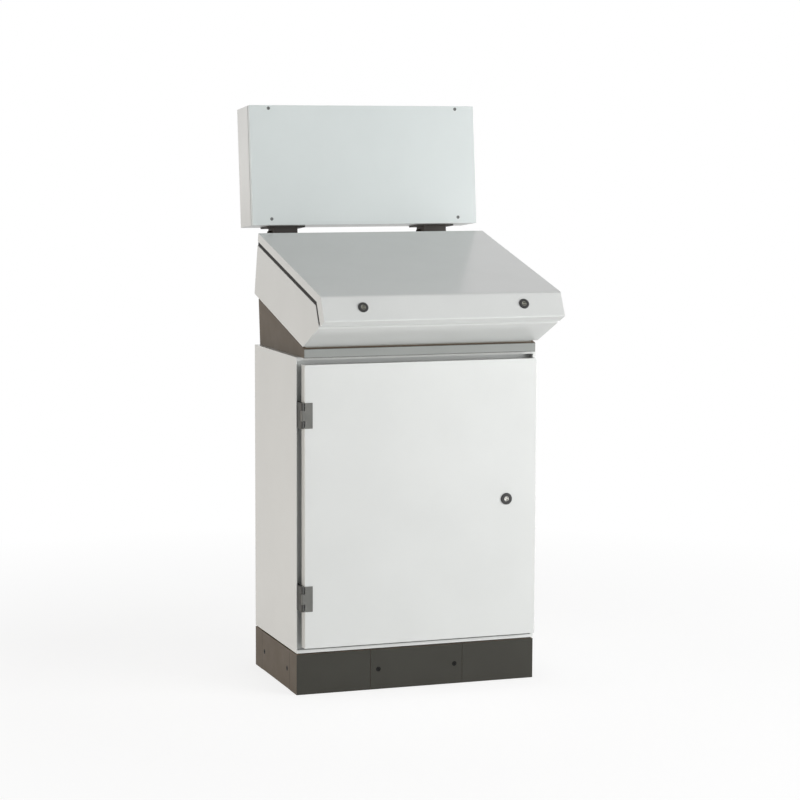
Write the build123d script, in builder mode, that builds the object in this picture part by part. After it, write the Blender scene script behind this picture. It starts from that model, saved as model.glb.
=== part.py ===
from build123d import *
import os
from math import cos, radians, sin

# Operator console: plinth, pedestal cabinet with a door, sloped desk with a lid, tilting instrument box.
# Millimetres. X runs to the right, the front faces -Y, Z points up.
# The origin is on the floor, under the middle of the pedestal.

os.makedirs("parts", exist_ok=True)

# Shared sizes
console_width = 600.0
sheet = 2.0
overrun = 5.0
seat_clearance = 0.3
pin_clearance = 0.05
hole_clearance = 0.25
hex_sides = 6

# Plinth
plinth_height = 100.0
plinth_sheet = 2.5
plinth_gasket_height = 3.0
plinth_gasket_width = 14.0
plinth_gasket_inset = 4.0
plinth_return = 58.0
plinth_cover_half = 117.0
plinth_ledge = 44.0
plinth_lap = 10.0
plinth_seam = 0.8
plinth_screw_inset = 20.5
floor_bolt_inset = 28.0
floor_bolt_radius = 5.0
plinth_bolt_end_inset = 70.0
plinth_bolt_inset = 36.0
plinth_bolt_radius = 5.0
plinth_bolt_head_radius = 8.5
plinth_bolt_head_height = 6.5
plinth_bolt_tail = 6.0

# Countersunk screws of the plinth's covers
plinth_screw_head_radius = 6.0
plinth_screw_head_depth = 2.4
plinth_screw_shank_radius = 3.0
plinth_screw_length = 11.0

# Pedestal cabinet
pedestal_depth = 350.0
pedestal_height = 700.0
lip_width = 7.5
gutter_depth = 20.0
rim_inset = 40.0
rim_height = 34.0
gland_opening_side_gap = 110.0
gland_opening_end_gap = 90.0
gland_plate_lap = 20.0
gland_plate_corner = 10.0
plate_side_gap = 50.0
plate_end_gap = 60.0
plate_thickness = 2.5
plate_stand_off = 25.0
plate_hole_inset = 25.0
spacer_radius = 8.0
stud_radius = 4.0
stud_length = 12.0
nut_radius = 7.5
nut_height = 6.5

# Door
door_stand_off = 1.0
door_depth = 26.0
door_hinge_gap = 12.0
door_lock_gap = 7.0
door_end_gap = 16.0
door_return = 9.0
door_corner = 1.5
door_gasket_width = 12.0

# Door hinges
hinge_height = 60.0
hinge_end_inset = 134.0
hinge_barrel_radius = 4.5
hinge_pin_radius = 2.5
hinge_axis_inset = 7.0
hinge_axis_depth = 2.0
hinge_knuckle_height = 24.0
hinge_knuckle_gap = 0.4
hinge_strap_width = 19.0
hinge_strap_gap = 0.5
hinge_web_gap = 0.5

# Quarter-turn locks
door_lock_inset = 83.0
door_lock_below_middle = 2.0
door_lock_head_radius = 14.0
lid_lock_inset = 97.0
lid_lock_drop = 28.5
lid_lock_head_radius = 12.0
lock_head_height = 3.0
lock_head_bevel = 1.2
lock_barrel_radius = 9.0
lock_core_radius = 6.0
lock_core_recess = 1.0
lock_key_radius = 4.6
lock_key_depth = 4.0
lock_bit_width = 2.4
lock_nut_radius = 13.0
lock_nut_height = 5.0
lock_cam_width = 12.0
lock_cam_thickness = 3.0
lock_cam_clearance = 2.0
lock_tail_radius = 3.5
lock_tail_length = 3.0
cam_catch = 10.0
cam_pointing_down = -90.0
cam_pointing_right = 0.0
cam_pointing_left = 180.0

# Collar between pedestal and desk
collar_side_inset = 11.5
collar_overhang = 25.0
collar_back_inset = 7.0
collar_back_lean = 6.0
collar_front_height = 21.0
collar_cover_gap = 1.0
desk_gasket_height = 6.0
desk_gasket_inset = 7.0
desk_gasket_width = 16.0
passage_side_gap = 100.0
passage_front_gap = 75.0
passage_back_gap = 95.0
collar_bolt_margin = 28.0
collar_bolt_radius = 4.0
collar_bolt_head_radius = 6.5
collar_bolt_head_height = 5.3
collar_bolt_grip = 12.0

# Desk
desk_side_inset = 7.0
desk_slope = 13.4
desk_overhang = 3.0
desk_under_reach = 65.0
desk_back_height = 154.0
lid_reach = 105.0
nose_height = 62.0
nose_lean = 27.0
nose_bend = 10.0
nose_edge_bend = 3.0
body_bend = 4.0
body_front_bend = 8.0
lid_skirt = 20.5
lid_gap = 10.0
nose_depth = 33.0
lid_return = 14.0
nose_lip = 11.0
body_flange = 20.0
body_front_flange = 20.0
lid_gasket_width = 11.0
lid_gasket_inset = 2.5
lid_gasket_side_inset = 0.5
lid_gasket_end_inset = 8.5

# Lid hinges on the back of the desk
butt_width = 60.0
butt_inset = 183.0
butt_leaf = 17.0
butt_leaf_gap = 0.5
butt_thickness = 2.5
butt_barrel_radius = 5.0
butt_pin_radius = 2.5
butt_knuckle_width = 20.0
butt_knuckle_gap = 0.4

# Instrument box: the lower edge of its face is placed from the back edge of the lid
box_setback = 45.0
box_lift = 17.7
box_tilt = 6.0
box_side_inset = 6.0
box_height = 295.0
box_depth = 110.0
box_cover_depth = 13.0
box_cover_gap = 3.0
box_flange = 24.0
box_gasket_width = 10.0
box_gasket_inset = 0.5
box_screw_head_radius = 4.2
box_screw_head_depth = 1.9
box_screw_shank_radius = 2.0
box_screw_length = 21.0
box_screw_inset = 49.0
box_screw_top = 7.5
box_screw_bottom = 15.0

# Tilting brackets under the instrument box
bracket_inset = 97.0
bracket_sheet = 4.0
bracket_plate_width = 98.0
bracket_plate_depth = 62.0
bracket_plate_setback = 38.0
clevis_width = 60.0
clevis_depth = 54.0
clevis_drop = 26.0
clevis_web_drop = 18.0
pivot_setback = 72.0
pivot_drop = 15.0
pivot_radius = 4.0
pivot_ear_radius = 9.0
pivot_side_gap = 0.4
pivot_head_radius = 6.5
pivot_head_height = 5.3
pivot_nut_height = 6.5
pivot_tail = 2.5
foot_end_inset = 14.0
foot_length = 68.0
foot_bolt_inset = 14.0
foot_bolt_radius = 3.0
foot_bolt_head_radius = 5.0
foot_bolt_head_height = 4.0
foot_bolt_grip = 10.0

# Levels and faces worked out from the sizes above
half_width = console_width / 2
half_depth = pedestal_depth / 2
plinth_top = plinth_height - plinth_gasket_height
pedestal_bottom = plinth_height
pedestal_top = plinth_height + pedestal_height
pedestal_middle = (pedestal_bottom + pedestal_top) / 2
flange_front = -half_depth + gutter_depth
flange_back = flange_front + sheet
rim_front = flange_front - rim_height
door_back = -half_depth - door_stand_off
door_front = door_back - door_depth
door_left = -half_width + door_hinge_gap
door_right = half_width - door_lock_gap
door_bottom = pedestal_bottom + door_end_gap
door_top = pedestal_top - door_end_gap
door_lock_x = half_width - door_lock_inset
gland_opening_width = console_width - 2 * gland_opening_side_gap
gland_opening_depth = pedestal_depth - 2 * gland_opening_end_gap
plate_width = console_width - 2 * plate_side_gap
plate_height = pedestal_height - 2 * plate_end_gap
passage_half = half_width - passage_side_gap
passage_front = -half_depth + passage_front_gap
passage_back = half_depth - passage_back_gap
collar_half_width = half_width - collar_side_inset
collar_front = -half_depth - collar_overhang
collar_back = half_depth - collar_back_inset
desk_half = half_width - desk_side_inset
desk_under_length = pedestal_depth + desk_under_reach
lid_length = desk_under_length + lid_reach
lid_lock_x = desk_half - lid_lock_inset
butt_x = desk_half - butt_inset
box_width = console_width - 2 * box_side_inset
box_screw_x = box_width / 2 - box_screw_inset
bracket_x = box_width / 2 - bracket_inset
foot_start = desk_back_height - foot_length - foot_end_inset
plinth_screw = (plinth_screw_head_radius, plinth_screw_head_depth, plinth_screw_shank_radius)
box_screw = (box_screw_head_radius, box_screw_head_depth, box_screw_shank_radius)


def block(low, high, mode=Mode.ADD):
    """Adds or cuts a block between two opposite corners."""
    with Locations(tuple((a + b) / 2 for a, b in zip(low, high))):
        Box(*(b - a for a, b in zip(low, high)), mode=mode)


def rod(place, radius, length, mode=Mode.ADD):
    """Adds or cuts a round rod from a plane's origin, against the plane's direction."""
    with Locations(place):
        Cylinder(radius, length, align=(Align.CENTER, Align.CENTER, Align.MAX), mode=mode)


def go(point, direction, distance):
    """The point that lies a distance from another, in the side view."""
    return (point[0] + direction[0] * distance, point[1] + direction[1] * distance)


def meet(p, u, q, v):
    """The crossing of two lines of the side view, each a point and a direction."""
    scale = ((q[0] - p[0]) * v[1] - (q[1] - p[1]) * v[0]) / (u[0] * v[1] - u[1] * v[0])
    return go(p, u, scale)


def keep(builder, label):
    """Labels a finished piece and writes it."""
    builder.part.label = label
    export_step(builder.part, f"parts/{label}.step")


def screw_holes(places, size, depth):
    """Cuts countersunk holes for screws of one size, at planes that face out of the sheet."""
    head_radius, head_depth, shank_radius = size
    for place in places:
        rod(place, shank_radius + hole_clearance, depth, Mode.SUBTRACT)
        with Locations(place):
            Cone(shank_radius + hole_clearance, head_radius + hole_clearance, head_depth,
                 align=(Align.CENTER, Align.CENTER, Align.MAX), mode=Mode.SUBTRACT)


def countersunk_screws(places, size, length, label):
    """Countersunk screws of one size with their heads flush in the given planes, as one group."""
    head_radius, head_depth, shank_radius = size
    with BuildPart() as screws:
        for place in places:
            rod(place, shank_radius, length)
            with Locations(place):
                Cone(shank_radius, head_radius, head_depth, align=(Align.CENTER, Align.CENTER, Align.MAX))
    keep(screws, label)


def hex_bolts(places, head_radius, head_height, shank_radius, length, label):
    """Hexagon bolts, head on the plane's own side and shank against its direction, as one group."""
    with BuildPart() as bolts:
        for place in places:
            with BuildSketch(place):
                RegularPolygon(head_radius, hex_sides)
            extrude(amount=head_height)
            rod(place, shank_radius, length)
    keep(bolts, label)


def front_plane(x, y, z):
    """A plane at a point, facing the front."""
    return Plane(origin=(x, y, z), x_dir=(1, 0, 0), z_dir=(0, -1, 0))


def level_plane(x, y, z):
    """A plane at a point, facing up."""
    return Plane(origin=(x, y, z), x_dir=(1, 0, 0), z_dir=(0, 0, 1))


# Plinth: front and rear channels, screwed covers and side panels
plinth_middle = plinth_top / 2
cover_screw_x = plinth_cover_half - plinth_screw_inset
return_end = half_depth - plinth_return
front_screws = [front_plane(s * cover_screw_x, -half_depth, plinth_middle) for s in (-1, 1)]
rear_screws = [
    Plane(origin=(s * cover_screw_x, half_depth, plinth_middle), x_dir=(-1, 0, 0), z_dir=(0, 1, 0))
    for s in (-1, 1)
]
panel_screw_y = return_end - plinth_screw_inset
side_screws = {
    side: [
        Plane(origin=(side * half_width, s * panel_screw_y, plinth_middle), x_dir=(0, 1, 0),
              z_dir=(side, 0, 0))
        for s in (-1, 1)
    ]
    for side in (-1, 1)
}
floor_bolt_x = half_width - floor_bolt_inset
floor_bolt_y = half_depth - floor_bolt_inset
bolt_x = half_width - plinth_bolt_end_inset
bolt_y = half_depth - plinth_bolt_inset

with BuildPart() as plinth_front:
    block((-half_width, -half_depth, 0), (half_width, -return_end, plinth_top))
    block((-half_width + plinth_sheet, -half_depth + plinth_sheet, plinth_sheet),
          (half_width - plinth_sheet, -return_end + overrun, plinth_top - plinth_sheet), Mode.SUBTRACT)
    block((-plinth_cover_half, -half_depth - overrun, -overrun),
          (plinth_cover_half, -half_depth + plinth_sheet, plinth_top + overrun), Mode.SUBTRACT)
    for side in (-1, 1):
        ledge = sorted((side * (plinth_cover_half - plinth_ledge), side * (plinth_cover_half + plinth_lap)))
        block((ledge[0], -half_depth + plinth_sheet, 0),
              (ledge[1], -half_depth + 2 * plinth_sheet, plinth_top))
        tab = sorted((side * (half_width - plinth_sheet), side * (half_width - 2 * plinth_sheet)))
        block((tab[0], -return_end - plinth_lap, plinth_sheet),
              (tab[1], -return_end + plinth_ledge, plinth_top - plinth_sheet))
        rod(level_plane(side * floor_bolt_x, -floor_bolt_y, plinth_sheet + overrun),
            floor_bolt_radius + hole_clearance, plinth_sheet + 2 * overrun, Mode.SUBTRACT)
        rod(level_plane(side * bolt_x, -bolt_y, plinth_top + overrun), plinth_bolt_radius + hole_clearance,
            plinth_sheet + 2 * overrun, Mode.SUBTRACT)
        front_tabs = [p for p in side_screws[side] if p.origin.Y < 0]
        for place in front_tabs:
            rod(place, plinth_screw_shank_radius + hole_clearance, plinth_screw_length, Mode.SUBTRACT)
    for place in front_screws:
        rod(place, plinth_screw_shank_radius + hole_clearance, plinth_screw_length, Mode.SUBTRACT)
keep(plinth_front, "plinth_front")

with BuildPart() as plinth_rear:
    mirror(plinth_front.part, about=Plane.XZ)
keep(plinth_rear, "plinth_rear")

cover_reach = plinth_cover_half - plinth_seam
with BuildPart() as plinth_front_cover:
    block((-cover_reach, -half_depth, plinth_seam),
          (cover_reach, -half_depth + plinth_sheet, plinth_top - plinth_seam))
    screw_holes(front_screws, plinth_screw, plinth_screw_length)
keep(plinth_front_cover, "plinth_front_cover")

with BuildPart() as plinth_rear_cover:
    mirror(plinth_front_cover.part, about=Plane.XZ)
keep(plinth_rear_cover, "plinth_rear_cover")

panel_reach = return_end - plinth_seam
for side, label in ((-1, "plinth_left_panel"), (1, "plinth_right_panel")):
    faces = sorted((side * half_width, side * (half_width - plinth_sheet)))
    with BuildPart() as plinth_panel:
        block((faces[0], -panel_reach, plinth_seam), (faces[1], panel_reach, plinth_top - plinth_seam))
        screw_holes(side_screws[side], plinth_screw, plinth_screw_length)
    keep(plinth_panel, label)

plinth_screws = front_screws + rear_screws + side_screws[-1] + side_screws[1]
countersunk_screws(plinth_screws, plinth_screw, plinth_screw_length, "plinth_screws")

gasket_x = half_width - plinth_gasket_inset
gasket_y = half_depth - plinth_gasket_inset
with BuildPart() as plinth_gasket:
    block((-gasket_x, -gasket_y, plinth_top), (gasket_x, gasket_y, pedestal_bottom))
    block((-gasket_x + plinth_gasket_width, -gasket_y + plinth_gasket_width, plinth_top - overrun),
          (gasket_x - plinth_gasket_width, gasket_y - plinth_gasket_width, pedestal_bottom + overrun),
          Mode.SUBTRACT)
keep(plinth_gasket, "plinth_gasket")

# Pedestal cabinet: one folded body with a rain gutter and a sealing rim round the door opening
floor_level = pedestal_bottom + sheet
roof_level = pedestal_top - sheet
back_face = half_depth - sheet
corner_bolts = [level_plane(sx * bolt_x, sy * bolt_y, floor_level) for sx in (-1, 1) for sy in (-1, 1)]
plate_back = back_face - plate_stand_off
plate_hole_x = plate_width / 2 - plate_hole_inset
plate_hole_z = plate_height / 2 - plate_hole_inset
plate_holes = [
    front_plane(sx * plate_hole_x, plate_back, pedestal_middle + sz * plate_hole_z)
    for sx in (-1, 1) for sz in (-1, 1)
]
collar_bolt_x = passage_half + collar_bolt_margin
collar_bolts = [
    Plane(origin=(s * collar_bolt_x, y, roof_level), x_dir=(1, 0, 0), z_dir=(0, 0, -1))
    for s in (-1, 1) for y in (passage_front + collar_bolt_margin, passage_back - collar_bolt_margin)
]


def passage(low, high):
    """Cuts the upright cable passage between two levels."""
    block((-passage_half, passage_front, low), (passage_half, passage_back, high), Mode.SUBTRACT)


def opening_size(inset):
    """Width and height of a rectangle that lies an inset inside the pedestal's front outline."""
    return (console_width - 2 * inset, pedestal_height - 2 * inset)


def front_frame(hinge_inset, inset, mode=Mode.ADD):
    """A rectangle inside the pedestal's front outline, with an inset of its own on the hinge side."""
    with Locations(((hinge_inset - inset) / 2, 0)):
        Rectangle(console_width - hinge_inset - inset, pedestal_height - 2 * inset, mode=mode)


with BuildPart() as pedestal_body:
    block((-half_width, -half_depth, pedestal_bottom), (half_width, half_depth, pedestal_top))
    block((-half_width + sheet, flange_back, floor_level), (half_width - sheet, back_face, roof_level),
          Mode.SUBTRACT)
    # Hollow behind the lip, which runs round three sides
    with BuildSketch(front_plane(0, flange_back, pedestal_middle)):
        front_frame(lip_width - sheet, sheet)
        front_frame(lip_width - sheet, lip_width - sheet, Mode.SUBTRACT)
    extrude(amount=gutter_depth, mode=Mode.SUBTRACT)
    # Gutter between lip and rim; on the hinge side it reaches the side wall
    with BuildSketch(front_plane(0, flange_front, pedestal_middle)):
        front_frame(sheet, lip_width)
    extrude(amount=gutter_depth + overrun, mode=Mode.SUBTRACT)
    # Rim round the opening, standing forward out of the gutter
    with BuildSketch(front_plane(0, flange_front, pedestal_middle)):
        Rectangle(*opening_size(rim_inset))
    extrude(amount=rim_height)
    with BuildSketch(front_plane(0, flange_back + overrun, pedestal_middle)):
        Rectangle(*opening_size(rim_inset + sheet))
    extrude(amount=rim_height + sheet + 2 * overrun, mode=Mode.SUBTRACT)
    block((-gland_opening_width / 2, -gland_opening_depth / 2, pedestal_bottom - overrun),
          (gland_opening_width / 2, gland_opening_depth / 2, floor_level + overrun), Mode.SUBTRACT)
    passage(roof_level - overrun, pedestal_top + overrun)
    for place in corner_bolts:
        rod(place, plinth_bolt_radius + hole_clearance, sheet + overrun, Mode.SUBTRACT)
    for place in collar_bolts:
        rod(place, collar_bolt_radius + hole_clearance, sheet + overrun, Mode.SUBTRACT)
keep(pedestal_body, "pedestal_body")

hex_bolts(corner_bolts, plinth_bolt_head_radius, plinth_bolt_head_height, plinth_bolt_radius,
          sheet + plinth_gasket_height + plinth_sheet + plinth_bolt_tail, "plinth_bolts")

gland_x = gland_opening_width / 2 + gland_plate_lap
gland_y = gland_opening_depth / 2 + gland_plate_lap
with BuildPart() as gland_plate:
    block((-gland_x, -gland_y, floor_level), (gland_x, gland_y, floor_level + sheet))
    fillet(gland_plate.edges().filter_by(Axis.Z), gland_plate_corner)
keep(gland_plate, "gland_plate")

with BuildPart() as mounting_plate:
    with BuildSketch(front_plane(0, plate_back, pedestal_middle)):
        Rectangle(plate_width, plate_height)
        with Locations(*((p.origin.X, p.origin.Z - pedestal_middle) for p in plate_holes)):
            Circle(stud_radius + hole_clearance, mode=Mode.SUBTRACT)
    extrude(amount=plate_thickness)
keep(mounting_plate, "mounting_plate")

with BuildPart() as mounting_studs:
    for place in plate_holes:
        rod(place, spacer_radius, plate_stand_off)
        rod(place.offset(stud_length), stud_radius, stud_length + plate_stand_off)
keep(mounting_studs, "mounting_studs")

with BuildPart() as mounting_nuts:
    for place in plate_holes:
        with BuildSketch(place.offset(plate_thickness)):
            RegularPolygon(nut_radius, hex_sides)
            Circle(stud_radius + pin_clearance, mode=Mode.SUBTRACT)
        extrude(amount=nut_height)
keep(mounting_nuts, "mounting_nuts")

# Door: a folded pan with its gasket
door_lock_plane = front_plane(door_lock_x, door_front, pedestal_middle - door_lock_below_middle)
skin_back = door_front + sheet
with BuildPart() as door:
    block((door_left, door_front, door_bottom), (door_right, door_back, door_top))
    fillet(door.edges().filter_by(Axis.Z).group_by(Axis.Y)[0], door_corner)
    block((door_left + sheet, skin_back, door_bottom + sheet),
          (door_right - sheet, door_back - sheet, door_top - sheet), Mode.SUBTRACT)
    block((door_left + door_return, door_back - sheet - overrun, door_bottom + door_return),
          (door_right - door_return, door_back + overrun, door_top - door_return), Mode.SUBTRACT)
    rod(door_lock_plane, lock_barrel_radius + hole_clearance, sheet + overrun, Mode.SUBTRACT)
keep(door, "door")

gasket_spread = (door_gasket_width - sheet) / 2
with BuildPart() as door_gasket:
    with BuildSketch(front_plane(0, rim_front - seat_clearance, pedestal_middle)):
        Rectangle(*opening_size(rim_inset - gasket_spread))
        Rectangle(*opening_size(rim_inset + sheet + gasket_spread), mode=Mode.SUBTRACT)
    extrude(amount=rim_front - seat_clearance - skin_back)
keep(door_gasket, "door_gasket")

# Door hinges: foot in the pedestal's gutter, strap on the door, loose pin
hinge_x = -half_width + hinge_axis_inset
hinge_y = door_front + hinge_axis_depth
strap_front = hinge_y - hinge_barrel_radius
strap_left = hinge_x + hinge_barrel_radius + hinge_strap_gap
strap_right = strap_left + hinge_strap_width
knuckle_half = hinge_knuckle_height / 2
outer_knuckle = hinge_height / 2 - knuckle_half - hinge_knuckle_gap
hinge_levels = {"upper": pedestal_top - hinge_end_inset, "lower": pedestal_bottom + hinge_end_inset}
hinge_pin_places = []
for position, level in hinge_levels.items():
    top = level + hinge_height / 2
    bottom = level - hinge_height / 2
    pin_place = level_plane(hinge_x, hinge_y, top)
    hinge_pin_places.append(pin_place)
    with BuildPart() as hinge_foot:
        block((hinge_x - hinge_barrel_radius, hinge_y + hinge_barrel_radius + hinge_web_gap, bottom),
              (hinge_x + hinge_barrel_radius, flange_front, top))
        for knuckle_top in (top, bottom + outer_knuckle):
            knuckle_bottom = knuckle_top - outer_knuckle
            block((hinge_x - hinge_barrel_radius, hinge_y, knuckle_bottom),
                  (hinge_x, flange_front, knuckle_top))
            rod(level_plane(hinge_x, hinge_y, knuckle_top), hinge_barrel_radius, outer_knuckle)
        rod(pin_place.offset(overrun), hinge_pin_radius + pin_clearance, hinge_height + 2 * overrun,
            Mode.SUBTRACT)
    keep(hinge_foot, f"hinge_foot_{position}")
    with BuildPart() as hinge_strap:
        block((strap_left, strap_front, bottom), (strap_right, door_front, top))
        block((hinge_x, strap_front, level - knuckle_half), (strap_right, door_front, level + knuckle_half))
        rod(level_plane(hinge_x, hinge_y, level + knuckle_half), hinge_barrel_radius, hinge_knuckle_height)
        rod(pin_place.offset(overrun), hinge_pin_radius + pin_clearance, hinge_height + 2 * overrun,
            Mode.SUBTRACT)
    keep(hinge_strap, f"hinge_strap_{position}")

with BuildPart() as hinge_pins:
    for place in hinge_pin_places:
        rod(place, hinge_pin_radius, hinge_height)
keep(hinge_pins, "hinge_pins")


def quarter_turn_lock(place, head_radius, panel, cam_depth, cam_length, cam_turn, prefix):
    """A quarter-turn lock on a panel's outer face: housing, nut, turning core and cam."""
    barrel_length = cam_depth - lock_cam_clearance
    with BuildPart() as housing:
        collar_height = lock_head_height - lock_head_bevel
        rod(place.offset(collar_height), head_radius, collar_height)
        with Locations(place.offset(lock_head_height)):
            Cone(head_radius, head_radius - lock_head_bevel, lock_head_bevel,
                 align=(Align.CENTER, Align.CENTER, Align.MAX))
        rod(place, lock_barrel_radius, barrel_length)
        rod(place.offset(lock_head_height + overrun), lock_core_radius + pin_clearance,
            lock_head_height + barrel_length + 2 * overrun, Mode.SUBTRACT)
    keep(housing, f"{prefix}_housing")
    with BuildPart() as nut:
        with BuildSketch(place.offset(-panel)):
            RegularPolygon(lock_nut_radius, hex_sides)
            Circle(lock_barrel_radius + pin_clearance, mode=Mode.SUBTRACT)
        extrude(amount=-lock_nut_height)
    keep(nut, f"{prefix}_nut")
    core_face = lock_head_height - lock_core_recess
    with BuildPart() as core:
        rod(place.offset(core_face), lock_core_radius, core_face + cam_depth)
        rod(place.offset(-cam_depth), lock_tail_radius, lock_cam_thickness + lock_tail_length)
        with BuildSketch(place.offset(core_face)):
            Circle(lock_key_radius)
            Rectangle(2 * lock_key_radius, lock_bit_width, mode=Mode.SUBTRACT)
        extrude(amount=-lock_key_depth, mode=Mode.SUBTRACT)
    keep(core, f"{prefix}_core")
    with BuildPart() as cam:
        with BuildSketch(place.offset(-cam_depth)):
            Circle(lock_cam_width / 2)
            Rectangle(cam_length, lock_cam_width, rotation=cam_turn, align=(Align.MIN, Align.CENTER))
            Circle(lock_tail_radius + pin_clearance, mode=Mode.SUBTRACT)
        extrude(amount=-lock_cam_thickness)
    keep(cam, f"{prefix}_cam")


# The door lock's cam hangs down when open and turns behind the pedestal's flange
door_cam_depth = flange_back + lock_cam_clearance - door_front
door_cam_length = half_width - rim_inset + cam_catch - door_lock_x
quarter_turn_lock(door_lock_plane, door_lock_head_radius, sheet, door_cam_depth, door_cam_length,
                  cam_pointing_down, "door_lock")

# Side view of the desk: directions first, then the corners of its outline
slope = radians(desk_slope)
lean = radians(nose_lean)
down_slope = (-cos(slope), -sin(slope))
slope_up = (-sin(slope), cos(slope))
down_back = (sin(slope), -cos(slope))
back_out = (cos(slope), sin(slope))
down_front = (-sin(lean), -cos(lean))
front_out = (-cos(lean), sin(lean))
under_front = (collar_front - desk_overhang, pedestal_top + collar_front_height + desk_gasket_height)
under_back = go(under_front, down_slope, -desk_under_length)
back_top = go(under_back, down_back, -desk_back_height)
nose_top = go(back_top, down_slope, lid_length)
nose_end = go(nose_top, down_front, nose_height)
lower_run = (under_front[0] - nose_end[0], under_front[1] - nose_end[1])


def below_lid(distance):
    """A point that lies a distance under the lid's top face."""
    return go(back_top, slope_up, -distance)


def behind_nose(distance):
    """A point that lies a distance behind the lid's front face."""
    return go(nose_top, front_out, -distance)


def split_line(skirt, depth):
    """Heel, corner and end of a line that follows the lid's top and front faces inside the outline."""
    heel = meet(back_top, down_back, below_lid(skirt), down_slope)
    corner = meet(below_lid(skirt), down_slope, behind_nose(depth), down_front)
    end = meet(behind_nose(depth), down_front, nose_end, lower_run)
    return heel, corner, end


def mouth_outline(start, lip, outside, inside):
    """Outline of a cut through a sheet that follows the split line, between its two flanges."""
    start_out = go(start, slope_up, outside)
    start_in = go(start, slope_up, -inside)
    lip_out = go(lip, front_out, outside)
    lip_in = go(lip, front_out, -inside)
    corner_out = meet(start_out, down_slope, lip_out, down_front)
    corner_in = meet(start_in, down_slope, lip_in, down_front)
    return start_out, corner_out, lip_out, lip_in, corner_in, start_in


def nearest(corners, point):
    """The corner of a sketch that lies nearest to a point of the side view."""
    return corners.sort_by_distance((point[0], point[1], 0))[0]


def space(point, x=0):
    """A point of the side view, placed in space."""
    return (x, point[0], point[1])


# Collar: a folded ring that fills the wedge between pedestal and desk
collar_lean = radians(collar_back_lean)
collar_back_up = (sin(collar_lean), cos(collar_lean))
collar_line = go(under_front, slope_up, -desk_gasket_height)
collar_top_front = meet(collar_line, down_slope, (collar_front, pedestal_top), (0, 1))
collar_top_back = meet(collar_line, down_slope, (collar_back, pedestal_top), collar_back_up)
under_plane = Plane(origin=space(under_front), x_dir=(1, 0, 0), z_dir=space(slope_up))
desk_bolts = []
for base in collar_bolts:
    seat = meet(under_front, down_slope, (base.origin.Y, base.origin.Z), (0, 1))
    desk_bolts.append(Plane(origin=space(go(seat, slope_up, sheet), base.origin.X), x_dir=(1, 0, 0),
                            z_dir=space(slope_up)))

with BuildPart() as collar:
    with BuildSketch(Plane.YZ) as collar_side:
        with BuildLine():
            Polyline((collar_front, pedestal_top), (collar_back, pedestal_top), collar_top_back,
                     collar_top_front, close=True)
        make_face()
    extrude(amount=collar_half_width, both=True)
    with BuildSketch(Plane.YZ):
        add(collar_side.sketch_local)
        offset(amount=-sheet, kind=Kind.INTERSECTION, mode=Mode.REPLACE)
    extrude(amount=collar_half_width - sheet, both=True, mode=Mode.SUBTRACT)
    passage(pedestal_top - overrun, under_back[1])
    for place in collar_bolts:
        rod(place, collar_bolt_radius + hole_clearance, 2 * sheet + overrun, Mode.SUBTRACT)
    for place in desk_bolts:
        rod(place, collar_bolt_radius + hole_clearance, 2 * sheet + desk_gasket_height + overrun,
            Mode.SUBTRACT)
keep(collar, "collar")

with BuildPart() as collar_front_cover:
    block((-collar_half_width, collar_front - sheet, pedestal_top + collar_cover_gap),
          (collar_half_width, collar_front, collar_top_front[1] - collar_cover_gap))
keep(collar_front_cover, "collar_front_cover")

gasket_start = (collar_top_front[0] - under_front[0]) / cos(slope) + desk_gasket_inset
gasket_end = (collar_top_back[0] - under_front[0]) / cos(slope) - desk_gasket_inset
with BuildPart() as desk_gasket:
    with BuildSketch(under_plane):
        with Locations((0, (gasket_start + gasket_end) / 2)):
            Rectangle(2 * (collar_half_width - desk_gasket_inset), gasket_end - gasket_start)
            Rectangle(2 * (collar_half_width - desk_gasket_inset - desk_gasket_width),
                      gasket_end - gasket_start - 2 * desk_gasket_width, mode=Mode.SUBTRACT)
    extrude(amount=-desk_gasket_height)
keep(desk_gasket, "desk_gasket")

hex_bolts(collar_bolts, collar_bolt_head_radius, collar_bolt_head_height, collar_bolt_radius,
          collar_bolt_grip, "collar_bolts")
hex_bolts(desk_bolts, collar_bolt_head_radius, collar_bolt_head_height, collar_bolt_radius,
          desk_gasket_height + collar_bolt_grip, "desk_bolts")

# Places of the bracket feet on the back of the desk, and of their bolts
bracket_places = {"left": -bracket_x, "right": bracket_x}
foot_middle = go(back_top, down_back, foot_start + foot_length / 2)
foot_planes = {
    name: Plane(origin=space(foot_middle, x), x_dir=(1, 0, 0), z_dir=space(back_out))
    for name, x in bracket_places.items()
}
foot_bolt_drop = foot_length / 2 - foot_bolt_inset
foot_bolts = [
    Plane(origin=plane.from_local_coords((0, s * foot_bolt_drop, bracket_sheet)), x_dir=(1, 0, 0),
          z_dir=plane.z_dir)
    for plane in foot_planes.values() for s in (-1, 1)
]

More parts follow.
